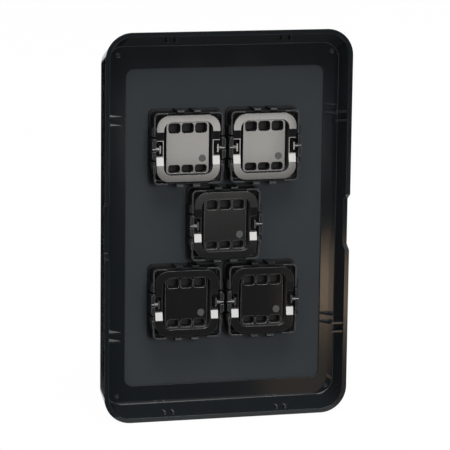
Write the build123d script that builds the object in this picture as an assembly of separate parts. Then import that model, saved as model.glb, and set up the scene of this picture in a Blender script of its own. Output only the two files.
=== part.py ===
# Cover plate for a wall switch, with five tilting rockers held in snap-in carrier frames.
# The open back of the tray lies in the plane y = 0 and faces -Y. The room side faces +Y.
# X runs to the right as the back is looked at, and Z runs up.
import math
import os

from build123d import *

# Cover plate
plate_width = 75.0
plate_height = 117.0
plate_depth = 10.4
rim_corner_radius = 8.0
front_corner_radius = 6.0
front_edge_radius = 1.2
rim_land = 1.35
side_draft = 4.0
top_rake = 24.0
bottom_rake = 15.5
panel_thickness = 1.6
recess_step = 0.7
side_border = 7.2
end_border = 10.5
recess_radius = 2.5
recess_shift = 0.7
recess_drop = 1.3
foot_radius = 0.3

# Pry notches in the long sides of the rim
notch_length = 17.0
notch_depth = 2.1
notch_ramp = 1.6

# Paired locating ribs on the walls: thin catches at the sides, short wedges at the ends
rib_thickness = 0.6
rib_spacing = 2.6
rib_root = 0.4
side_rib_reach = 3.5
side_rib_gap = 0.5
side_rib_tip = 0.4
side_rib_run = 5.0
side_rib_height = 32.3
end_rib_gap = 1.2
end_rib_run = 4.3
end_rib_offset = 17.4

# Round ejector marks on the border
mark_radius = 0.65
mark_depth = 0.2
mark_side_inset = 4.9
mark_end_inset = 7.0
mark_drop = 0.6

# Rocker layout: places are counted in pitches from the plate's centre
column_gap = 1.4
row_gap = 0.9
places = {
    "top_left": (-0.5, 1),
    "top_right": (0.5, 1),
    "middle": (0, 0),
    "bottom_left": (-0.5, -1),
    "bottom_right": (0.5, -1),
}

# Rocker ring
ring_width = 19.3
ring_height = 19.9
ring_radius = 4.0
ring_side_band = 2.25
ring_end_band = 2.0
ring_inner_radius = 2.4
ring_stand = 5.6
ring_foot_radius = 1.0
ring_foot_height = 1.8
ramp_outer = 5.0
ramp_inner = 2.5
ramp_drop = 0.45
dip_height = 4.4
dip_depth = 3.5
dip_wall = 0.35
web_width = 0.5
web_height = 2.4
web_inset = 0.9
web_rise = 0.7
trunnion_radius = 0.7
trunnion_reach = 1.4
trunnion_root = 0.8

# Rocker cap
cap_margin = 0.1
cap_corner_radius = 2.0
cap_edge_radius = 0.4
cap_thickness = 1.3
cap_proud = 0.3
block_width = 12.9
block_radius = 1.0
block_height = 5.0
block_gap = 0.2
pocket_height = 9.45
pocket_drop = 0.3
cell_width = 3.65
cell_divider = 0.4
cell_radius = 0.9
cell_depth = 4.0
cell_wall = 0.3

# Indicator lens
lens_radius = 1.0
lens_offset = 4.5
lens_height = -3.2
lens_proud = 0.15

# Carrier frame
lip_thickness = 0.35
opening_radius = 1.0
flange_margin = 0.6
flange_thickness = 0.8
ear_thickness = 1.05
ear_height = 13.2
ear_drop = 0.35
seat_rise = 0.9
finger_offset = 3.5
finger_slot = 0.6
pad_thickness = 0.3
pad_height = 2.0
pad_drop = 6.0
pad_rise = 0.4
lip_gap_width = 12.6
lip_gap_depth = 0.6

# Snap hooks of the cover plate, over the carrier lips
hook_width = 2.1
hook_offset = 2.5
hook_thickness = 0.7
hook_catch = 0.35
hook_head = 0.9

# Clearances
window_side_clearance = 0.25
window_end_clearance = 0.45
ring_side_clearance = 0.4
ring_end_clearance = 0.35
trunnion_clearance = 0.06
snap_interference = 0.1
lens_clearance = 0.02
hook_clearance = 0.1
catch_clearance = 0.05
overrun = 0.5

# Depths from the rim, worked out from the sizes above
recess_y = plate_depth - panel_thickness
floor_y = recess_y - recess_step
ring_rear_y = recess_y - ring_stand
cap_front_y = plate_depth + cap_proud
cap_rear_y = cap_front_y - cap_thickness
block_rear_y = cap_rear_y - block_height
dip_y = ring_rear_y + dip_depth
pivot_y = ring_rear_y
flange_y = recess_y - flange_thickness

# Outlines worked out from the sizes above
opening_width = ring_width + 2 * ring_side_clearance
opening_height = ring_height + 2 * ring_end_clearance
lip_width = opening_width + 2 * lip_thickness
lip_height = opening_height + 2 * lip_thickness
flange_width = lip_width + 2 * flange_margin
flange_height = lip_height + 2 * flange_margin
ear_width = opening_width + 2 * ear_thickness
inner_width = ring_width - 2 * ring_side_band
inner_height = ring_height - 2 * ring_end_band
cap_width = ring_width + 2 * cap_margin
cap_height = ring_height + 2 * cap_margin
window_width = cap_width + 2 * window_side_clearance
window_height = cap_height + 2 * window_end_clearance
column_pitch = flange_width + column_gap
row_pitch = flange_height + row_gap
recess_width = plate_width - 2 * side_border
recess_height = plate_height - 2 * end_border


def plane_at(y):
    """The upright plane at one depth: local x is X, local y is Z, and it faces the wall."""
    return Plane(origin=(0, y, 0), x_dir=(1, 0, 0), z_dir=(0, -1, 0))


def slab(width, height, radius, rear_y, front_y, x=0, z=0):
    """A flat plate with rounded corners between two depths."""
    outline = plane_at(front_y) * Pos(x, z) * RectangleRounded(width, height, radius)
    return extrude(outline, amount=front_y - rear_y)


def brick(width, height, rear_y, front_y, x=0, z=0):
    """A square-cornered block between two depths."""
    outline = plane_at(front_y) * Pos(x, z) * Rectangle(width, height)
    return extrude(outline, amount=front_y - rear_y)


def side_profile(points, width, x=0):
    """A closed outline of (y, z) points, swept along X about one place."""
    outline = Plane.YZ * make_face(Polyline(*points, close=True))
    return Pos(x, 0, 0) * extrude(outline, amount=width / 2, both=True)


def top_profile(points, height, z=0):
    """A closed outline of (x, y) points, swept along Z about one place."""
    outline = make_face(Polyline(*points, close=True))
    return Pos(0, 0, z) * extrude(outline, amount=height / 2, both=True)


def rod_x(radius, start_x, end_x, y, z=0):
    """A round bar along X."""
    return Plane.YZ * Pos(y, z, (start_x + end_x) / 2) * Cylinder(radius, abs(end_x - start_x))


def rod_y(radius, rear_y, front_y, x, z):
    """A round bar along Y."""
    return plane_at((rear_y + front_y) / 2) * Pos(x, z) * Cylinder(radius, front_y - rear_y)


def narrowing(y, angle):
    """How far a leaning wall has moved inwards at one depth."""
    return y * math.tan(math.radians(angle))


def tray_outline(y, wall, radius):
    """The tray's outline at one depth, set in by a wall."""
    width = plate_width - 2 * wall - 2 * narrowing(y, side_draft)
    top = plate_height / 2 - wall - narrowing(y, top_rake)
    bottom = plate_height / 2 - wall - narrowing(y, bottom_rake)
    return plane_at(y) * Pos(0, (top - bottom) / 2) * RectangleRounded(width, top + bottom, radius)


def tray():
    """The bare tray: leaning walls, rounded front edge, border floor and sunk panel."""
    outer = loft(
        [tray_outline(0, 0, rim_corner_radius), tray_outline(plate_depth, 0, front_corner_radius)],
        ruled=True,
    )
    front = outer.faces().sort_by(Axis.Y)[-1]
    outer = fillet(front.edges(), front_edge_radius)
    inner_radius = rim_corner_radius - rim_land
    foot_corner_radius = inner_radius - (rim_corner_radius - front_corner_radius) * floor_y / plate_depth
    hollow = loft(
        [tray_outline(-overrun, rim_land, inner_radius), tray_outline(floor_y, rim_land, foot_corner_radius)],
        ruled=True,
    )
    floor = hollow.faces().sort_by(Axis.Y)[-1]
    hollow = fillet(floor.edges(), foot_radius)
    panel = slab(
        recess_width, recess_height, recess_radius, floor_y - overrun, recess_y, recess_shift, -recess_drop
    )
    return outer - hollow - panel


def side_rib():
    """A catch with a flat rear edge, whose front slopes back to the wall, as (outward, y) points."""
    wall_rear = plate_width / 2 - rim_land - narrowing(side_rib_gap, side_draft)
    wall_front = plate_width / 2 - rim_land - narrowing(side_rib_run, side_draft)
    edge = plate_width / 2 - rim_land - side_rib_reach
    return [
        (wall_rear + rib_root, side_rib_gap),
        (edge, side_rib_gap),
        (edge, side_rib_gap + side_rib_tip),
        (wall_front + rib_root, side_rib_run),
    ]


def end_rib(rake):
    """A wedge that starts below the rim and runs out where the leaning wall meets it."""
    wall_rear = plate_height / 2 - rim_land - narrowing(end_rib_gap, rake)
    edge = plate_height / 2 - rim_land - narrowing(end_rib_run, rake)
    return [
        (wall_rear + rib_root, end_rib_gap),
        (edge, end_rib_gap),
        (edge, end_rib_run),
        (edge + rib_root, end_rib_run),
    ]


def locating_ribs():
    """Two pairs of ribs on each of the four walls."""
    ribs = []
    for across, rake in ((-1, bottom_rake), (1, top_rake)):
        for along in (-1, 1):
            for half in (-1, 1):
                shift = half * rib_spacing / 2
                side_points = [(across * out, y) for out, y in side_rib()]
                ribs.append(top_profile(side_points, rib_thickness, along * side_rib_height + shift))
                end_points = [(y, across * out) for out, y in end_rib(rake)]
                ribs.append(side_profile(end_points, rib_thickness, along * end_rib_offset + shift))
    return ribs


def pry_notches():
    """The two cuts in the long sides of the rim, with sloped ends."""
    half = notch_length / 2
    points = [
        (-overrun, half + notch_ramp * overrun / notch_depth),
        (notch_depth, half - notch_ramp),
        (notch_depth, notch_ramp - half),
        (-overrun, -half - notch_ramp * overrun / notch_depth),
    ]
    reach = rim_land + narrowing(notch_depth, side_draft)
    middle = plate_width / 2 - reach / 2
    return [side_profile(points, reach + overrun, side * middle) for side in (-1, 1)]


def snap_hooks(x, z):
    """Four tall hooks round one window: two above and two below the carrier's lip."""
    post = lip_height / 2 + hook_clearance
    catch_y = ring_rear_y + lip_gap_depth - catch_clearance
    root_y = recess_y + panel_thickness / 4
    hooks = []
    for end in (-1, 1):
        section = [
            (root_y, post),
            (catch_y, post),
            (catch_y, post - hook_catch),
            (catch_y - hook_head / 3, post - hook_catch),
            (catch_y - hook_head, post + hook_thickness / 3),
            (catch_y - hook_head, post + hook_thickness),
            (root_y, post + hook_thickness),
        ]
        points = [(y, z + end * height) for y, height in section]
        for side in (-1, 1):
            hooks.append(side_profile(points, hook_width, x + side * hook_offset))
    return hooks


def cover_plate():
    """The whole cover moulding."""
    plate = tray()
    for rib in locating_ribs():
        plate += rib
    for notch in pry_notches():
        plate -= notch
    for across in (-1, 1):
        for along in (-1, 1):
            mark_x = recess_shift + across * (plate_width / 2 - mark_side_inset)
            mark_z = along * (plate_height / 2 - mark_end_inset) - mark_drop
            plate -= rod_y(mark_radius, floor_y - overrun, floor_y + mark_depth, mark_x, mark_z)
    for column, row in places.values():
        x = column * column_pitch
        z = row * row_pitch
        plate -= slab(window_width, window_height, cap_corner_radius, floor_y, plate_depth + overrun, x, z)
        for hook in snap_hooks(x, z):
            plate += hook
    return plate


def carrier_frame():
    """A snap-in frame at the plate's centre: flange, thin lip and two ears with pivot seats."""
    seat_y = pivot_y - seat_rise
    seat_height = 2 * finger_offset - finger_slot
    frame = slab(flange_width, flange_height, opening_radius + flange_margin, flange_y, recess_y)
    frame += slab(lip_width, lip_height, opening_radius + lip_thickness, ring_rear_y, recess_y)
    frame += slab(ear_width, ear_height, ear_thickness, ring_rear_y + ear_drop, recess_y)
    frame += slab(ear_width, seat_height, ear_thickness, seat_y, recess_y)
    pad_width = lip_width + 2 * pad_thickness
    frame += brick(pad_width, pad_height, ring_rear_y - pad_rise, recess_y, z=-pad_drop)
    frame -= slab(opening_width, opening_height, opening_radius, seat_y - overrun, recess_y + overrun)
    seat_radius = trunnion_radius + trunnion_clearance
    mouth = 2 * (trunnion_radius - snap_interference)
    lip_gap_y = ring_rear_y + lip_gap_depth
    hook_slot = hook_width + 2 * hook_clearance
    for side in (-1, 1):
        gap_z = side * (opening_height / 2 + lip_thickness / 2)
        frame -= brick(lip_gap_width, 2 * lip_thickness, ring_rear_y - overrun, lip_gap_y, z=gap_z)
        ear_x = side * (opening_width / 2 + ear_thickness / 2)
        frame -= rod_x(seat_radius, ear_x - ear_thickness, ear_x + ear_thickness, pivot_y)
        frame -= brick(2 * ear_thickness, mouth, seat_y - overrun, pivot_y, x=ear_x)
        for end in (-1, 1):
            slot_z = end * finger_offset
            frame -= brick(2 * ear_thickness, finger_slot, ring_rear_y - overrun, flange_y, ear_x, slot_z)
            notch_z = end * (lip_height / 2 + flange_margin)
            notch_x = side * hook_offset
            frame -= brick(hook_slot, 2 * flange_margin, ring_rear_y, recess_y + overrun, notch_x, notch_z)
    return frame


def rocker_ring():
    """A ring with a square foot: ramps run down to deep dips, with an upright web and a trunnion in each."""
    ring = slab(ring_width, ring_height, ring_radius, ring_rear_y, cap_rear_y)
    ring += slab(ring_width, ring_height, ring_foot_radius, recess_y - ring_foot_height, recess_y)
    ring -= slab(inner_width, inner_height, ring_inner_radius, ring_rear_y - overrun, cap_rear_y + overrun)
    slope = (ramp_outer - ramp_inner) / ramp_drop
    ramps = [
        (ring_rear_y - overrun, ramp_outer + slope * overrun),
        (ring_rear_y + ramp_drop, ramp_inner),
        (ring_rear_y + ramp_drop, -ramp_inner),
        (ring_rear_y - overrun, -ramp_outer - slope * overrun),
    ]
    ring -= side_profile(ramps, ring_width + 2 * overrun)
    dip_start = inner_width / 2 + dip_wall
    dip_width = ring_width / 2 + overrun - dip_start
    for side in (-1, 1):
        dip_x = side * (dip_start + dip_width / 2)
        ring -= brick(dip_width, dip_height, ring_rear_y - overrun, dip_y, x=dip_x)
        web_x = side * (ring_width / 2 - web_inset)
        ring += brick(web_width, web_height, pivot_y - web_rise, dip_y + overrun, x=web_x)
        root_x = side * (ring_width / 2 - trunnion_root)
        tip_x = side * (ring_width / 2 + trunnion_reach)
        ring += rod_x(trunnion_radius, root_x, tip_x, pivot_y)
    return ring


def rocker_cap():
    """A cap at the plate's centre: the button and the block behind it, with rows of cells."""
    button = slab(cap_width, cap_height, cap_corner_radius, cap_rear_y, cap_front_y)
    front = button.faces().sort_by(Axis.Y)[-1]
    cap = fillet(front.edges(), cap_edge_radius)
    block_end = inner_height - 2 * block_gap
    cap += slab(block_width, block_end, block_radius, block_rear_y, cap_rear_y + cap_edge_radius)
    cell_y = block_rear_y + cell_depth
    for row in (-1, 1):
        near_z = row * pocket_height / 2 - pocket_drop
        far_z = row * (block_end / 2 - cell_wall)
        cell_height = abs(far_z - near_z)
        row_z = (near_z + far_z) / 2
        for column in (-1, 0, 1):
            cell_x = column * (cell_width + cell_divider)
            cap -= slab(cell_width, cell_height, cell_radius, block_rear_y - overrun, cell_y, cell_x, row_z)
    hole_radius = lens_radius + lens_clearance
    cap -= rod_y(hole_radius, block_rear_y - overrun, cap_front_y + overrun, lens_offset, lens_height)
    return cap


def indicator_lens():
    """A light pipe through the cap, a little proud of the block at the back."""
    return rod_y(lens_radius, block_rear_y - lens_proud, cap_front_y, lens_offset, lens_height)


def main():
    os.makedirs("parts", exist_ok=True)
    export_step(cover_plate(), "parts/cover_plate.step")
    pieces = {
        "carrier": carrier_frame(),
        "rocker_ring": rocker_ring(),
        "rocker_cap": rocker_cap(),
        "indicator_lens": indicator_lens(),
    }
    for place, (column, row) in places.items():
        for name, piece in pieces.items():
            seated = Pos(column * column_pitch, 0, row * row_pitch) * piece
            export_step(seated, f"parts/{place}_{name}.step")


main()
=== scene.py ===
# Finishes and studio for a black wall-switch cover plate with five tilting rockers, seen from its open back.
import math

import bmesh
import bpy
from mathutils import Matrix, Vector


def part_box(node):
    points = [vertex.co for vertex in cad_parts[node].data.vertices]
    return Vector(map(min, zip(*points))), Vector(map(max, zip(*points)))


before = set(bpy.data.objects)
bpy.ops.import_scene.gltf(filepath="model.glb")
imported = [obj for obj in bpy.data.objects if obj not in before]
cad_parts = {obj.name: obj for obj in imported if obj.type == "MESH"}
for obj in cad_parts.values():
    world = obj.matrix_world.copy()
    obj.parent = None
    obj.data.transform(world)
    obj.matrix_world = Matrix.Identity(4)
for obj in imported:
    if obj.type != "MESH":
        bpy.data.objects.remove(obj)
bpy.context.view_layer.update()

bl_info = {
    "name": "Switch plate finishes",
    "version": (1, 0, 0),
    "blender": (4, 5, 0),
    "location": "View3D > Sidebar > Switch plate",
    "description": "Moulded-plastic finishes and a small studio for a wall-switch cover plate",
    "category": "Material",
}

MM = 0.001
PLATE_LOW, PLATE_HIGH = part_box("cover_plate")
HALF_WIDTH = (PLATE_HIGH.x - PLATE_LOW.x) / 2
HALF_HEIGHT = (PLATE_HIGH.z - PLATE_LOW.z) / 2

# Tool texture: how far each layer of noise counts, with scales in waves per metre
SLOW_WAVES = 0.12 / MM
CELL_SHARE = 0.5
WAVINESS = 0.3

# Rounded edges: the match of face and rounded normal where an edge starts, and where it is full
EDGE_START = 0.995
EDGE_FULL = 0.80
EDGE_SAMPLES = 6

# Handling: smears drawn out upwards, and small specks of dust
SMEAR_WAVES = 0.08 / MM
SMEAR_STRETCH = (1.0, 1.0, 0.35)
SMEAR_START = 0.40
SMEAR_FULL = 0.70
SMEAR_DULLING = 1.35
SPECK_WAVES = 0.45 / MM
SPECK_START = 0.07
SPECK_FULL = 0.03
DUST_GREY = (0.30, 0.30, 0.29)

# Sunk panel: how far its mask stays inside the outline, and its share of the step's height
PANEL_MARGIN = 0.02 * MM
STEP_SHARE = 0.7

# Cover: grain in millimetres, shares of the layers, and the roughness and relief of its areas
COVER_GRAIN = 0.22
COVER_SHADE = 0.86
COVER_RELIEF = 0.018 * MM
COVER_SPECULAR = 0.3
# Paler edge tint: partly wear, partly a painted highlight along the rounded edges
COVER_WEAR_AND_HIGHLIGHT = 0.6
COVER_DUST = 0.08
WORN_AND_HIGHLIT_GREY = (0.040, 0.043, 0.046)
MARK_SHARE = 0.5
MARK_GREY = (0.045, 0.048, 0.050)
BORDER_CLEAN_ROUGH = 0.06
BORDER_SMEARED_ROUGH = 0.09
BORDER_RELIEF_SHARE = 0.03
PANEL_ROUGH = 0.80

# Carriers, rings and caps: how dark the mottle gets, and how much the dust shows
MOULDED_SHADE = 0.82
MOULDED_DUST = 0.06

# Lenses: grain in millimetres, a darker ring at the edge, and a range of mottle that sets the roughness
LENS_GRAIN = 0.35
LENS_WAVINESS = 0.4
LENS_SHADE = 0.7
LENS_RELIEF = 0.002 * MM
LENS_RING_SHARE = 0.7
LENS_RING_SHADE = 0.4
LENS_MOTTLE = (0.3, 0.7)
LENS_ROUGH = (0.38, 0.48)

# Studio: light cards stand behind the camera, and flags are black cloth that only gloss can see
IMAGE_SIZE = 450
SENSOR_WIDTH = 36.0
CLIP_NEAR = 0.01
CLIP_FAR = 50.0
FLOOR_GAP = 0.1 * MM
FLOOR_FRONT = 8 * MM
FLOOR_BACK = 3.0
FLOOR_SIDE = 2.0
FLOOR_GLOW = 0.97
CARD_Y = -1.2
REAR_FLAG_Y = -1.6
REAR_FLAG_X = (-0.7, 1.0)
REAR_FLAG_Z = (-1.1, 0.35)
SIDE_FLAG_GAP = 1.5 * MM
SIDE_FLAG_Y = (13 * MM, 75 * MM)
SIDE_FLAG_RISE = 20 * MM
FLAG_BLACK = (0.004, 0.004, 0.004)
WARM_WHITE = (1.0, 0.97, 0.92)
KEY_WHITE = (1.0, 0.98, 0.96)
COOL_WHITE = (0.97, 0.98, 1.0)
PLAIN_WHITE = (1.0, 1.0, 1.0)
AMBER = (1.0, 0.72, 0.50)


def nodes_ending(ending):
    """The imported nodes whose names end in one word, in a fixed order."""
    return [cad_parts[name] for name in sorted(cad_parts) if name.endswith(ending)]


# Settings


class FinishSettings(bpy.types.PropertyGroup):
    """Colours and gloss of the moulded pieces."""

    cover_colour: bpy.props.FloatVectorProperty(
        name="Cover", description="Moulding colour of the cover's border", subtype="COLOR",
        default=(0.0100, 0.0122, 0.0138), min=0, max=1)
    panel_colour: bpy.props.FloatVectorProperty(
        name="Sunk panel", description="Colour of the matt panel round the rockers", subtype="COLOR",
        default=(0.0215, 0.0265, 0.0305), min=0, max=1)
    carrier_colour: bpy.props.FloatVectorProperty(
        name="Carriers", description="Moulding colour of the snap-in frames", subtype="COLOR",
        default=(0.0050, 0.0052, 0.0056), min=0, max=1)
    ring_colour: bpy.props.FloatVectorProperty(
        name="Rings", description="Moulding colour of the rocker rings", subtype="COLOR",
        default=(0.012, 0.012, 0.0125), min=0, max=1)
    cap_colour: bpy.props.FloatVectorProperty(
        name="Caps", description="Moulding colour of the rocker caps", subtype="COLOR",
        default=(0.011, 0.011, 0.0115), min=0, max=1)
    lens_colour: bpy.props.FloatVectorProperty(
        name="Lenses", description="Colour of the smoked indicator lenses", subtype="COLOR",
        default=(0.052, 0.053, 0.056), min=0, max=1)
    front_roughness: bpy.props.FloatProperty(
        name="Front roughness", description="How satin the room side is", subtype="FACTOR",
        default=0.28, min=0, max=1)
    edge_radius: bpy.props.FloatProperty(
        name="Edge radius", description="Rounding that the moulded edges show in the light", unit="LENGTH",
        default=0.12 * MM, min=0)


class PanelSettings(bpy.types.PropertyGroup):
    """Where the matt panel and the ejector marks lie in the cover."""

    side_border: bpy.props.FloatProperty(
        name="Side border", description="From the rim's side to the sunk panel", unit="LENGTH",
        default=7.2 * MM)
    end_border: bpy.props.FloatProperty(
        name="End border", description="From the rim's end to the sunk panel", unit="LENGTH",
        default=10.5 * MM)
    shift: bpy.props.FloatProperty(
        name="Shift", description="How far the panel sits to the right", unit="LENGTH",
        default=0.7 * MM)
    drop: bpy.props.FloatProperty(
        name="Drop", description="How far the panel sits below the middle", unit="LENGTH",
        default=1.3 * MM)
    depth: bpy.props.FloatProperty(
        name="Depth", description="From the rim to the panel", unit="LENGTH",
        default=8.8 * MM)
    step: bpy.props.FloatProperty(
        name="Step", description="Height of the step round the panel", unit="LENGTH",
        default=0.7 * MM)
    mark_side_inset: bpy.props.FloatProperty(
        name="Mark from side", description="From the rim's side to an ejector mark", unit="LENGTH",
        default=4.9 * MM)
    mark_end_inset: bpy.props.FloatProperty(
        name="Mark from end", description="From the rim's end to an ejector mark", unit="LENGTH",
        default=7.0 * MM)
    mark_drop: bpy.props.FloatProperty(
        name="Mark drop", description="How far the marks sit below the middle", unit="LENGTH",
        default=0.6 * MM)
    mark_radius: bpy.props.FloatProperty(
        name="Mark radius", description="Radius of an ejector mark", unit="LENGTH",
        default=0.65 * MM)


class StudioSettings(bpy.types.PropertyGroup):
    """Camera, fill light and backdrop."""

    azimuth: bpy.props.FloatProperty(
        name="Azimuth", description="Camera's turn round the plate", subtype="ANGLE",
        default=math.radians(-14.62))
    elevation: bpy.props.FloatProperty(
        name="Elevation", description="Camera's height as an angle", subtype="ANGLE",
        default=math.radians(11.11))
    roll: bpy.props.FloatProperty(
        name="Roll", description="Camera's turn about its own line of sight", subtype="ANGLE",
        default=math.radians(0.70))
    distance: bpy.props.FloatProperty(
        name="Distance", description="From the aim point to the camera", unit="LENGTH", default=0.8)
    focal_pixels: bpy.props.FloatProperty(
        name="Focal length", description="In pixels of the square picture", subtype="PIXEL", default=2698)
    aim: bpy.props.FloatVectorProperty(
        name="Aim", description="Point that the camera looks at", subtype="TRANSLATION",
        default=(-1.15 * MM, 0.0, 0.65 * MM))
    backdrop_colour: bpy.props.FloatVectorProperty(
        name="Backdrop", description="Colour of the floor and of the space behind the plate", subtype="COLOR",
        default=(1.0, 1.0, 1.0), min=0, max=1)
    fill: bpy.props.FloatProperty(
        name="Fill", description="Strength of the even light from all sides", subtype="FACTOR", default=0.25)


# Node helpers

MIX_FACTOR, MIX_FIRST, MIX_SECOND = 0, 6, 7
MIX_RESULT = 2


def feed(tree, socket, value):
    """Links a socket to another one, or sets it to a plain value."""
    if isinstance(value, bpy.types.NodeSocket):
        tree.links.new(value, socket)
    else:
        socket.default_value = value


def add_node(tree, kind, inputs=None, **settings):
    """A node with its settings, and each input either set or linked."""
    node = tree.nodes.new(kind)
    for name, value in settings.items():
        setattr(node, name, value)
    for name, value in (inputs or {}).items():
        feed(tree, node.inputs[name], value)
    return node


def math_node(tree, operation, *values):
    """The result of one sum on sockets or numbers."""
    return add_node(tree, "ShaderNodeMath", dict(enumerate(values)), operation=operation).outputs[0]


def mix_colour(tree, factor, first, second, blend="MIX"):
    """Two colours mixed by a mask."""
    inputs = {MIX_FACTOR: factor, MIX_FIRST: first, MIX_SECOND: second}
    node = add_node(tree, "ShaderNodeMix", inputs, data_type="RGBA", blend_type=blend)
    return node.outputs[MIX_RESULT]


def map_range(tree, value, low, high, to_low, to_high):
    """A value moved from one range to another, and held inside it."""
    inputs = {"Value": value, "From Min": low, "From Max": high, "To Min": to_low, "To Max": to_high}
    return add_node(tree, "ShaderNodeMapRange", inputs).outputs["Result"]


def between(tree, mask, first, second):
    """The first value where a mask is zero, and the second where it is one."""
    return map_range(tree, mask, 0.0, 1.0, first, second)


def opaque(colour):
    """A colour with its alpha."""
    return (*colour, 1.0)


def socket_kind(name):
    """Places and directions are vectors, and every other socket of a group is one number."""
    return "NodeSocketVector" if name in ("Vector", "Normal") else "NodeSocketFloat"


def new_group(name, inputs, outputs):
    """An empty shader node group with named sockets, and its two end nodes."""
    group = bpy.data.node_groups.new(name, "ShaderNodeTree")
    for way, names in (("INPUT", inputs), ("OUTPUT", outputs)):
        for socket in names:
            group.interface.new_socket(name=socket, in_out=way, socket_type=socket_kind(socket))
    return group, group.nodes.new("NodeGroupInput"), group.nodes.new("NodeGroupOutput")


def group_node(tree, name, maker, **values):
    """A group placed in a material with its own values. The group is built when it is first asked for."""
    inputs = {key.replace("_", " ").title(): value for key, value in values.items()}
    shared = bpy.data.node_groups.get(name) or maker()
    return add_node(tree, "ShaderNodeGroup", inputs, node_tree=shared)


# Shared surface effects


def mould_grain_group():
    """Fine spark-eroded tool texture with a slow waviness under it."""
    inputs = ["Vector", "Grain Size", "Waviness"]
    group, start, end = new_group("Mould Grain", inputs, ["Height", "Mottle"])
    place = start.outputs["Vector"]
    scale = math_node(group, "DIVIDE", 1.0 / MM, start.outputs["Grain Size"])
    fine = add_node(group, "ShaderNodeTexNoise",
                    {"Vector": place, "Scale": scale, "Detail": 3.0, "Roughness": 0.6})
    cells = add_node(group, "ShaderNodeTexVoronoi", {"Vector": place, "Scale": scale})
    slow = add_node(group, "ShaderNodeTexNoise", {"Vector": place, "Scale": SLOW_WAVES, "Detail": 2.0})
    grain = math_node(group, "MULTIPLY_ADD", cells.outputs["Distance"], CELL_SHARE, fine.outputs["Fac"])
    wave = math_node(group, "MULTIPLY", slow.outputs["Fac"], start.outputs["Waviness"])
    group.links.new(math_node(group, "ADD", grain, wave), end.inputs["Height"])
    group.links.new(slow.outputs["Fac"], end.inputs["Mottle"])
    return group


def edge_group():
    """Where two faces meet: a rounded normal, and a mask of the edge."""
    group, start, end = new_group("Moulded Edge", ["Radius"], ["Normal", "Edge"])
    bevel = add_node(group, "ShaderNodeBevel", {"Radius": start.outputs["Radius"]}, samples=EDGE_SAMPLES)
    geometry = add_node(group, "ShaderNodeNewGeometry")
    normals = {0: bevel.outputs["Normal"], 1: geometry.outputs["Normal"]}
    match = add_node(group, "ShaderNodeVectorMath", normals, operation="DOT_PRODUCT")
    edge = map_range(group, match.outputs["Value"], EDGE_START, EDGE_FULL, 0.0, 1.0)
    group.links.new(bevel.outputs["Normal"], end.inputs["Normal"])
    group.links.new(edge, end.inputs["Edge"])
    return group


def handling_group():
    """Soft smears and a few dust specks from handling."""
    group, start, end = new_group("Handling", ["Vector"], ["Smear", "Dust"])
    place = start.outputs["Vector"]
    stretch = add_node(group, "ShaderNodeMapping", {"Vector": place, "Scale": SMEAR_STRETCH})
    smear = add_node(group, "ShaderNodeTexNoise",
                     {"Vector": stretch.outputs["Vector"], "Scale": SMEAR_WAVES, "Detail": 4.0,
                      "Distortion": 0.6})
    specks = add_node(group, "ShaderNodeTexVoronoi", {"Vector": place, "Scale": SPECK_WAVES})
    smeared = map_range(group, smear.outputs["Fac"], SMEAR_START, SMEAR_FULL, 0.0, 1.0)
    dust = map_range(group, specks.outputs["Distance"], SPECK_START, SPECK_FULL, 0.0, 1.0)
    group.links.new(smeared, end.inputs["Smear"])
    group.links.new(dust, end.inputs["Dust"])
    return group


def panel_group():
    """Mask of the sunk panel: one inside its outline and at its depth."""
    inputs = ["Vector", "Middle X", "Middle Z", "Half X", "Half Z", "Depth", "Step"]
    group, start, end = new_group("Sunk Panel", inputs, ["Mask"])
    place = add_node(group, "ShaderNodeSeparateXYZ", {"Vector": start.outputs["Vector"]})
    masks = []
    for axis in ("X", "Z"):
        away = math_node(group, "SUBTRACT", place.outputs[axis], start.outputs["Middle " + axis])
        inside = math_node(group, "SUBTRACT", start.outputs["Half " + axis],
                           math_node(group, "ABSOLUTE", away))
        masks.append(math_node(group, "GREATER_THAN", inside, PANEL_MARGIN))
    deep = math_node(group, "SUBTRACT", place.outputs["Y"], start.outputs["Depth"])
    reach = math_node(group, "MULTIPLY", start.outputs["Step"], STEP_SHARE)
    level = math_node(group, "LESS_THAN", math_node(group, "ABSOLUTE", deep), reach)
    both = math_node(group, "MULTIPLY", *masks)
    group.links.new(math_node(group, "MULTIPLY", both, level), end.inputs["Mask"])
    return group


def pin_group():
    """Mask of four round ejector marks, one near each corner, on the back of the plate."""
    inputs = ["Vector", "Middle X", "Middle Z", "Out X", "Out Z", "Radius", "Front"]
    group, start, end = new_group("Pin Marks", inputs, ["Mask"])
    place = add_node(group, "ShaderNodeSeparateXYZ", {"Vector": start.outputs["Vector"]})
    squares = []
    for axis in ("X", "Z"):
        away = math_node(group, "SUBTRACT", place.outputs[axis], start.outputs["Middle " + axis])
        off = math_node(group, "SUBTRACT", math_node(group, "ABSOLUTE", away), start.outputs["Out " + axis])
        squares.append(math_node(group, "MULTIPLY", off, off))
    reach = math_node(group, "SQRT", math_node(group, "ADD", *squares))
    inside = math_node(group, "LESS_THAN", reach, start.outputs["Radius"])
    behind = math_node(group, "LESS_THAN", place.outputs["Y"], start.outputs["Front"])
    group.links.new(math_node(group, "MULTIPLY", inside, behind), end.inputs["Mask"])
    return group


def depth_group():
    """Mask of a layer between two depths from the rim."""
    group, start, end = new_group("Depth Band", ["Vector", "Rear", "Front"], ["Mask"])
    place = add_node(group, "ShaderNodeSeparateXYZ", {"Vector": start.outputs["Vector"]})
    after = math_node(group, "GREATER_THAN", place.outputs["Y"], start.outputs["Rear"])
    before = math_node(group, "LESS_THAN", place.outputs["Y"], start.outputs["Front"])
    group.links.new(math_node(group, "MULTIPLY", after, before), end.inputs["Mask"])
    return group


# Materials


def new_material(name):
    """A material with its node tree and its shader."""
    material = bpy.data.materials.new(name)
    material.use_nodes = True
    tree = material.node_tree
    return material, tree, tree.nodes["Principled BSDF"]


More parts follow.
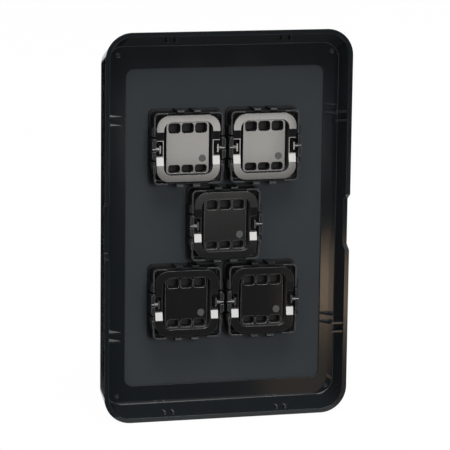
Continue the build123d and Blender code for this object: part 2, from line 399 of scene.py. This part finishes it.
def mottle(tree, grain, colour, shade):
    """A colour that wavers slowly between a darker shade of itself and itself."""
    darker = mix_colour(tree, 1.0, colour, opaque([shade] * 3), "MULTIPLY")
    return mix_colour(tree, grain.outputs["Mottle"], darker, colour)


def tint(tree, under, mask, share, colour):
    """A colour laid over another one by a share of a mask."""
    return mix_colour(tree, math_node(tree, "MULTIPLY", mask, share), under, opaque(colour))


def surface(tree, shader, colour, rough, height, relief, edge):
    """Feeds the shader with a colour, a roughness, and a relief on top of the rounded edges."""
    bump = add_node(tree, "ShaderNodeBump",
                    {"Height": height, "Distance": relief, "Strength": 1.0, "Normal": edge.outputs["Normal"]})
    tree.links.new(colour, shader.inputs["Base Color"])
    tree.links.new(rough, shader.inputs["Roughness"])
    tree.links.new(bump.outputs["Normal"], shader.inputs["Normal"])


def moulded_plastic(name, look, layers, edge_radius):
    """A moulded plastic: tool grain, edges with a paler tint that is partly wear and partly a painted
    highlight, smears, dust, and layers that differ, some of them painted shade or painted highlights.
    """
    material, tree, shader = new_material(name)
    place = add_node(tree, "ShaderNodeTexCoord").outputs["Object"]
    grain = group_node(tree, "Mould Grain", mould_grain_group, vector=place, grain_size=look["grain"],
                       waviness=WAVINESS)
    edge = group_node(tree, "Moulded Edge", edge_group, radius=edge_radius)
    handling = group_node(tree, "Handling", handling_group, vector=place)
    colour = opaque(look["colour"])
    wear_and_highlight = look["wear_and_highlight"]
    rough = between(tree, handling.outputs["Smear"], look["rough"], look["rough"] * SMEAR_DULLING)
    for layer in layers:
        band = group_node(tree, "Depth Band", depth_group, vector=place, rear=layer["rear"],
                          front=layer["front"])
        mask = band.outputs["Mask"]
        colour = mix_colour(tree, mask, colour, opaque(layer["colour"]))
        wear_and_highlight = between(tree, mask, wear_and_highlight, layer["wear_and_highlight"])
        rough = between(tree, mask, rough, layer["rough"])
    mottled = mottle(tree, grain, colour, MOULDED_SHADE)
    # Paler edges: partly wear, partly a painted highlight where the rounded edges catch the light
    worn_and_highlit = tint(tree, mottled, edge.outputs["Edge"], wear_and_highlight, look["edge"])
    dusty = tint(tree, worn_and_highlit, handling.outputs["Dust"], MOULDED_DUST, DUST_GREY)
    surface(tree, shader, dusty, rough, grain.outputs["Height"], look["relief"], edge)
    shader.inputs["Specular IOR Level"].default_value = look["specular"]
    return material


def cover_plastic(finish, panel):
    """The cover's moulding: a gloss border, a matt spark-eroded panel and a satin room side."""
    material, tree, shader = new_material("cover_plastic")
    place = add_node(tree, "ShaderNodeTexCoord").outputs["Object"]
    sunk = group_node(tree, "Sunk Panel", panel_group, vector=place, depth=panel.depth, step=panel.step,
                      middle_x=panel.shift, half_x=HALF_WIDTH - panel.side_border,
                      middle_z=-panel.drop, half_z=HALF_HEIGHT - panel.end_border)
    pins = group_node(tree, "Pin Marks", pin_group, vector=place, radius=panel.mark_radius, front=panel.depth,
                      middle_x=panel.shift, out_x=HALF_WIDTH - panel.mark_side_inset,
                      middle_z=-panel.mark_drop, out_z=HALF_HEIGHT - panel.mark_end_inset)
    face = group_node(tree, "Depth Band", depth_group, vector=place, rear=panel.depth + panel.step,
                      front=PLATE_HIGH.y + panel.step)
    grain = group_node(tree, "Mould Grain", mould_grain_group, vector=place, grain_size=COVER_GRAIN,
                       waviness=WAVINESS)
    edge = group_node(tree, "Moulded Edge", edge_group, radius=finish.edge_radius)
    handling = group_node(tree, "Handling", handling_group, vector=place)
    mask = sunk.outputs["Mask"]
    colour = mix_colour(tree, mask, opaque(finish.cover_colour), opaque(finish.panel_colour))
    mottled = mottle(tree, grain, colour, COVER_SHADE)
    marked = tint(tree, mottled, pins.outputs["Mask"], MARK_SHARE, MARK_GREY)
    # Paler edges: partly wear, partly a painted highlight along the rounded edges
    worn_and_highlit = tint(tree, marked, edge.outputs["Edge"], COVER_WEAR_AND_HIGHLIGHT, WORN_AND_HIGHLIT_GREY)
    dusty = tint(tree, worn_and_highlit, handling.outputs["Dust"], COVER_DUST, DUST_GREY)
    border_rough = between(tree, handling.outputs["Smear"], BORDER_CLEAN_ROUGH, BORDER_SMEARED_ROUGH)
    back_rough = between(tree, mask, border_rough, PANEL_ROUGH)
    rough = between(tree, face.outputs["Mask"], back_rough, finish.front_roughness)
    share = between(tree, mask, BORDER_RELIEF_SHARE, 1.0)
    height = math_node(tree, "MULTIPLY", grain.outputs["Height"], share)
    surface(tree, shader, dusty, rough, height, COVER_RELIEF, edge)
    shader.inputs["Specular IOR Level"].default_value = COVER_SPECULAR
    return material


def lens_plastic(finish):
    """Smoked lens: a cloudy grey with a darker ring and a satin face."""
    material, tree, shader = new_material("lens_plastic")
    place = add_node(tree, "ShaderNodeTexCoord").outputs["Object"]
    grain = group_node(tree, "Mould Grain", mould_grain_group, vector=place, grain_size=LENS_GRAIN,
                       waviness=LENS_WAVINESS)
    edge = group_node(tree, "Moulded Edge", edge_group, radius=finish.edge_radius)
    cloudy = mottle(tree, grain, opaque(finish.lens_colour), LENS_SHADE)
    ring_colour = [channel * LENS_RING_SHADE for channel in finish.lens_colour]
    ringed = tint(tree, cloudy, edge.outputs["Edge"], LENS_RING_SHARE, ring_colour)
    rough = map_range(tree, grain.outputs["Mottle"], *LENS_MOTTLE, *LENS_ROUGH)
    surface(tree, shader, ringed, rough, grain.outputs["Height"], LENS_RELIEF, edge)
    return material


def dress(nodes, material):
    """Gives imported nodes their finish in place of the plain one."""
    for node in nodes:
        node.data.materials.clear()
        node.data.materials.append(material)


# Stage


def direction(azimuth, elevation):
    """The unit vector from the plate towards a place in the studio."""
    level = math.cos(elevation)
    return Vector((math.sin(azimuth) * level, -math.cos(azimuth) * level, math.sin(elevation)))


def seen_directly(tree):
    """One for what the eye, gloss and clear plastic see, and zero for the light that falls on things."""
    path = add_node(tree, "ShaderNodeLightPath")
    seen = math_node(tree, "MAXIMUM", path.outputs["Is Camera Ray"], path.outputs["Is Glossy Ray"])
    return math_node(tree, "MAXIMUM", seen, path.outputs["Is Transmission Ray"])


def dull_surface(name, colour, rough):
    """A material with no gloss, with its node tree and its shader."""
    material, tree, shader = new_material(name)
    shader.inputs["Base Color"].default_value = opaque(colour)
    shader.inputs["Roughness"].default_value = rough
    shader.inputs["Specular IOR Level"].default_value = 0.0
    return material, tree, shader


def backdrop_material(colour):
    """A pale floor that shows white to the eye and to gloss, and keeps a soft shadow."""
    material, tree, shader = dull_surface("pale_floor", colour, rough=0.9)
    glow = add_node(tree, "ShaderNodeEmission", {"Color": opaque(colour), "Strength": 1.0})
    share = math_node(tree, "MULTIPLY", seen_directly(tree), FLOOR_GLOW)
    shaders = {"Fac": share, 1: shader.outputs["BSDF"], 2: glow.outputs["Emission"]}
    mixed = add_node(tree, "ShaderNodeMixShader", shaders)
    tree.links.new(mixed.outputs["Shader"], tree.nodes["Material Output"].inputs["Surface"])
    return material


def flag_material():
    """Dull black cloth of the flags."""
    return dull_surface("black_flag", FLAG_BLACK, rough=1.0)[0]


def rectangle(first, second):
    """The four corners of a rectangle, as pairs, from its two ranges."""
    return [(first[0], second[0]), (first[1], second[0]), (first[1], second[1]), (first[0], second[1])]


def sheet_object(name, corners, material):
    """A flat stage sheet through four corners."""
    mesh = bpy.data.meshes.new(name)
    shape = bmesh.new()
    shape.faces.new([shape.verts.new(corner) for corner in corners])
    shape.to_mesh(mesh)
    shape.free()
    sheet = bpy.data.objects.new(name, mesh)
    bpy.context.scene.collection.objects.link(sheet)
    mesh.materials.append(material)
    return sheet


def flag_object(name, corners, material):
    """A black flag that only gloss can see."""
    flag = sheet_object(name, corners, material)
    flag.visible_camera = False
    flag.visible_diffuse = False
    flag.visible_shadow = False


def softbox(name, place, aim, size, radiance, colour):
    """A rectangular area light that faces its aim, with a given brightness of its face."""
    light = bpy.data.lights.new(name, "AREA")
    light.shape = "RECTANGLE"
    light.size, light.size_y = size
    light.energy = radiance * math.pi * size[0] * size[1]
    light.color = colour
    lamp = bpy.data.objects.new(name, light)
    lamp.location = place
    lamp.rotation_mode = "QUATERNION"
    lamp.rotation_quaternion = (Vector(aim) - Vector(place)).to_track_quat("-Z", "Y")
    lamp.visible_camera = False
    bpy.context.scene.collection.objects.link(lamp)


def light_cards(name, sides, levels, radiances, colour):
    """Cards of light behind the camera, one above the other, that face straight at the plate."""
    x = (sides[0] + sides[1]) / 2
    for number, radiance in enumerate(radiances):
        low, high = levels[number:number + 2]
        z = (low + high) / 2
        size = (sides[1] - sides[0], high - low)
        softbox(f"{name}_{number + 1}", (x, CARD_Y, z), (x, 0, z), size, radiance, colour)


def far_softbox(name, azimuth, elevation, distance, size, radiance, colour):
    """A softbox at an angle round the plate, aimed at its middle."""
    place = direction(math.radians(azimuth), math.radians(elevation)) * distance
    softbox(name, place, (0, 0, 0), size, radiance, colour)


def studio_lights():
    """Cards for the gloss of the rockers, amber cards for the right border, and two softboxes."""
    light_cards("key_card", sides=(-0.145, 0.385), levels=(0.09, 0.43), radiances=[14.3], colour=KEY_WHITE)
    light_cards("low_card", sides=(0.2575, 0.3705), levels=(-0.262, -0.2103, -0.199, -0.157),
                radiances=[0.3, 3.8, 8.2], colour=WARM_WHITE)
    strip_levels = (-0.348, -0.326, -0.277, -0.258)
    strip_shares = (0.4, 1.0, 0.5)
    strips = {"left_strip": ((0.388, 0.397), 8.0), "middle_strip": ((0.397, 0.403), 5.6),
              "right_strip": ((0.403, 0.413), 6.8)}
    for name, (sides, brightness) in strips.items():
        light_cards(name, sides, strip_levels, [brightness * share for share in strip_shares], AMBER)
    light_cards("strip_foot", sides=(0.345, 0.413), levels=(-0.400, -0.348), radiances=[0.8], colour=AMBER)
    light_cards("wall_strip", sides=(-0.185, -0.135), levels=(-0.352, -0.320, -0.259),
                radiances=[5.0, 15.0], colour=AMBER)
    far_softbox("overhead", azimuth=-10, elevation=65, distance=1.2, size=(0.8, 0.6), radiance=8,
                colour=COOL_WHITE)
    far_softbox("front", azimuth=150, elevation=35, distance=1.3, size=(0.9, 0.7), radiance=2.5,
                colour=PLAIN_WHITE)


def studio_sheets(backdrop_colour):
    """The floor under the plate, a flag behind the camera, and one beside the plate's left wall."""
    floor_z = PLATE_LOW.z - FLOOR_GAP
    floor = rectangle((-FLOOR_SIDE, FLOOR_SIDE), (PLATE_LOW.y - FLOOR_FRONT, FLOOR_BACK))
    sheet_object("floor", [(x, y, floor_z) for x, y in floor], backdrop_material(backdrop_colour))
    cloth = flag_material()
    rear = rectangle(REAR_FLAG_X, REAR_FLAG_Z)
    flag_object("rear_flag", [(x, REAR_FLAG_Y, z) for x, z in rear], cloth)
    side_x = PLATE_LOW.x - SIDE_FLAG_GAP
    side = rectangle(SIDE_FLAG_Y, (floor_z, PLATE_HIGH.z + SIDE_FLAG_RISE))
    flag_object("side_flag", [(side_x, y, z) for y, z in side], cloth)


def studio_camera(studio):
    """The camera at the picture's angle, with its small roll."""
    data = bpy.data.cameras.new("camera")
    data.sensor_width = SENSOR_WIDTH
    data.lens = studio.focal_pixels * SENSOR_WIDTH / IMAGE_SIZE
    data.clip_start = CLIP_NEAR
    data.clip_end = CLIP_FAR
    camera = bpy.data.objects.new("camera", data)
    back = direction(studio.azimuth, studio.elevation)
    turn = (-back).to_track_quat("-Z", "Y")
    camera.rotation_mode = "QUATERNION"
    camera.rotation_quaternion = turn @ Matrix.Rotation(studio.roll, 4, "Z").to_quaternion()
    camera.location = Vector(studio.aim) + back * studio.distance
    bpy.context.scene.collection.objects.link(camera)
    bpy.context.scene.camera = camera


def studio_world(studio):
    """White to the eye and to gloss, with a dim even fill for everything else."""
    world = bpy.data.worlds.new("studio_world")
    world.use_nodes = True
    tree = world.node_tree
    background = tree.nodes["Background"]
    background.inputs["Color"].default_value = opaque(studio.backdrop_colour)
    strength = between(tree, seen_directly(tree), studio.fill, 1.0)
    tree.links.new(strength, background.inputs["Strength"])
    bpy.context.scene.world = world


# Operators


class PLATE_OT_cover(bpy.types.Operator):
    """Finish the cover plate: gloss border, matt sunk panel and satin room side"""

    bl_idname = "switch_plate.cover"
    bl_label = "Cover plate"

    def execute(self, context):
        scene = context.scene
        dress([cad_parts["cover_plate"]], cover_plastic(scene.plate_finish, scene.plate_panel))
        return {"FINISHED"}


class PLATE_OT_carriers(bpy.types.Operator):
    """Finish the snap-in carrier frames"""

    bl_idname = "switch_plate.carriers"
    bl_label = "Carrier frames"

    def execute(self, context):
        finish = context.scene.plate_finish
        # Edges take a pale tint, strongest on the lip: partly wear and partly a painted highlight
        look = {"colour": finish.carrier_colour, "rough": 0.38, "specular": 0.15, "grain": 0.25,
                "relief": 0.001 * MM, "edge": (0.34, 0.35, 0.37), "wear_and_highlight": 0.05}
        # The lip band is painted lighter: a painted highlight along the lip's rounded rear edge
        lip_highlight = {"rear": 1.0 * MM, "front": 3.5 * MM, "colour": (0.015, 0.0155, 0.0165),
               "rough": 0.35, "wear_and_highlight": 1.0}
        plastic = moulded_plastic("carrier_plastic", look, [lip_highlight], finish.edge_radius)
        dress(nodes_ending("_carrier"), plastic)
        return {"FINISHED"}


class PLATE_OT_rockers(bpy.types.Operator):
    """Finish the rocker rings and caps"""

    bl_idname = "switch_plate.rockers"
    bl_label = "Rockers"

    def execute(self, context):
        finish = context.scene.plate_finish
        # Ring edges take a paler tint, partly wear and partly a painted highlight
        ring = {"colour": finish.ring_colour, "rough": 0.045, "specular": 0.58, "grain": 0.30,
                "relief": 0.0001 * MM, "edge": (0.10, 0.10, 0.10), "wear_and_highlight": 0.4}
        # The dip round each pivot is painted near black: painted shade in the recess
        shaded_dip = {"rear": 4.0 * MM, "front": 9.4 * MM, "colour": (0.003, 0.003, 0.003),
               "rough": 1.0, "wear_and_highlight": 0.1}
        # The band at the pin crests and web ends is painted paler: a painted highlight
        pivot_highlight = {"rear": 2.0 * MM, "front": 2.55 * MM, "colour": (0.05, 0.05, 0.051),
                 "rough": 0.06, "wear_and_highlight": 0.9}
        ring_plastic = moulded_plastic("ring_plastic", ring, [shaded_dip, pivot_highlight], finish.edge_radius)
        dress(nodes_ending("_rocker_ring"), ring_plastic)
        # Cap edges take a pale tint, partly wear and partly a painted highlight where the edges catch the
        # light
        cap = {"colour": finish.cap_colour, "rough": 0.06, "specular": 0.5, "grain": 0.30,
               "relief": 0.0001 * MM, "edge": (0.50, 0.50, 0.50), "wear_and_highlight": 0.9}
        cells = {"rear": 4.8 * MM, "front": 9.4 * MM, "colour": (0.011, 0.011, 0.012),
                 "rough": 0.8, "wear_and_highlight": 0.1}
        face = {"rear": 9.5 * MM, "front": 12.0 * MM, "colour": finish.cap_colour,
                "rough": finish.front_roughness, "wear_and_highlight": 0.1}
        cap_plastic = moulded_plastic("cap_plastic", cap, [cells, face], finish.edge_radius)
        dress(nodes_ending("_rocker_cap"), cap_plastic)
        return {"FINISHED"}


class PLATE_OT_lenses(bpy.types.Operator):
    """Finish the indicator lenses"""

    bl_idname = "switch_plate.lenses"
    bl_label = "Indicator lenses"

    def execute(self, context):
        dress(nodes_ending("_indicator_lens"), lens_plastic(context.scene.plate_finish))
        return {"FINISHED"}


class PLATE_OT_studio(bpy.types.Operator):
    """Set up the floor, flags, lights and camera"""

    bl_idname = "switch_plate.studio"
    bl_label = "Studio"

    def execute(self, context):
        scene = context.scene
        studio = scene.plate_studio
        scene.view_settings.view_transform = "Standard"
        studio_world(studio)
        studio_sheets(studio.backdrop_colour)
        studio_lights()
        studio_camera(studio)
        return {"FINISHED"}


class PLATE_PT_panel(bpy.types.Panel):
    """Sidebar list of the finishes and the studio"""

    bl_label = "Switch plate"
    bl_idname = "PLATE_PT_panel"
    bl_space_type = "VIEW_3D"
    bl_region_type = "UI"
    bl_category = "Switch plate"

    def draw(self, context):
        for operator in OPERATORS:
            self.layout.operator(operator.bl_idname)
        for group, settings in SETTINGS.items():
            box = self.layout.box()
            for name in settings.__annotations__:
                box.prop(getattr(context.scene, group), name)


SETTINGS = {"plate_finish": FinishSettings, "plate_panel": PanelSettings, "plate_studio": StudioSettings}
OPERATORS = [PLATE_OT_cover, PLATE_OT_carriers, PLATE_OT_rockers, PLATE_OT_lenses, PLATE_OT_studio]


def register():
    for cls in (*SETTINGS.values(), *OPERATORS, PLATE_PT_panel):
        bpy.utils.register_class(cls)
    for group, settings in SETTINGS.items():
        setattr(bpy.types.Scene, group, bpy.props.PointerProperty(type=settings))


def unregister():
    for group in SETTINGS:
        delattr(bpy.types.Scene, group)
    for cls in (PLATE_PT_panel, *reversed(OPERATORS), *SETTINGS.values()):
        bpy.utils.unregister_class(cls)


def main():
    register()
    bpy.ops.switch_plate.cover()
    bpy.ops.switch_plate.carriers()
    bpy.ops.switch_plate.rockers()
    bpy.ops.switch_plate.lenses()
    bpy.ops.switch_plate.studio()


if __name__ == "__main__":
    main()
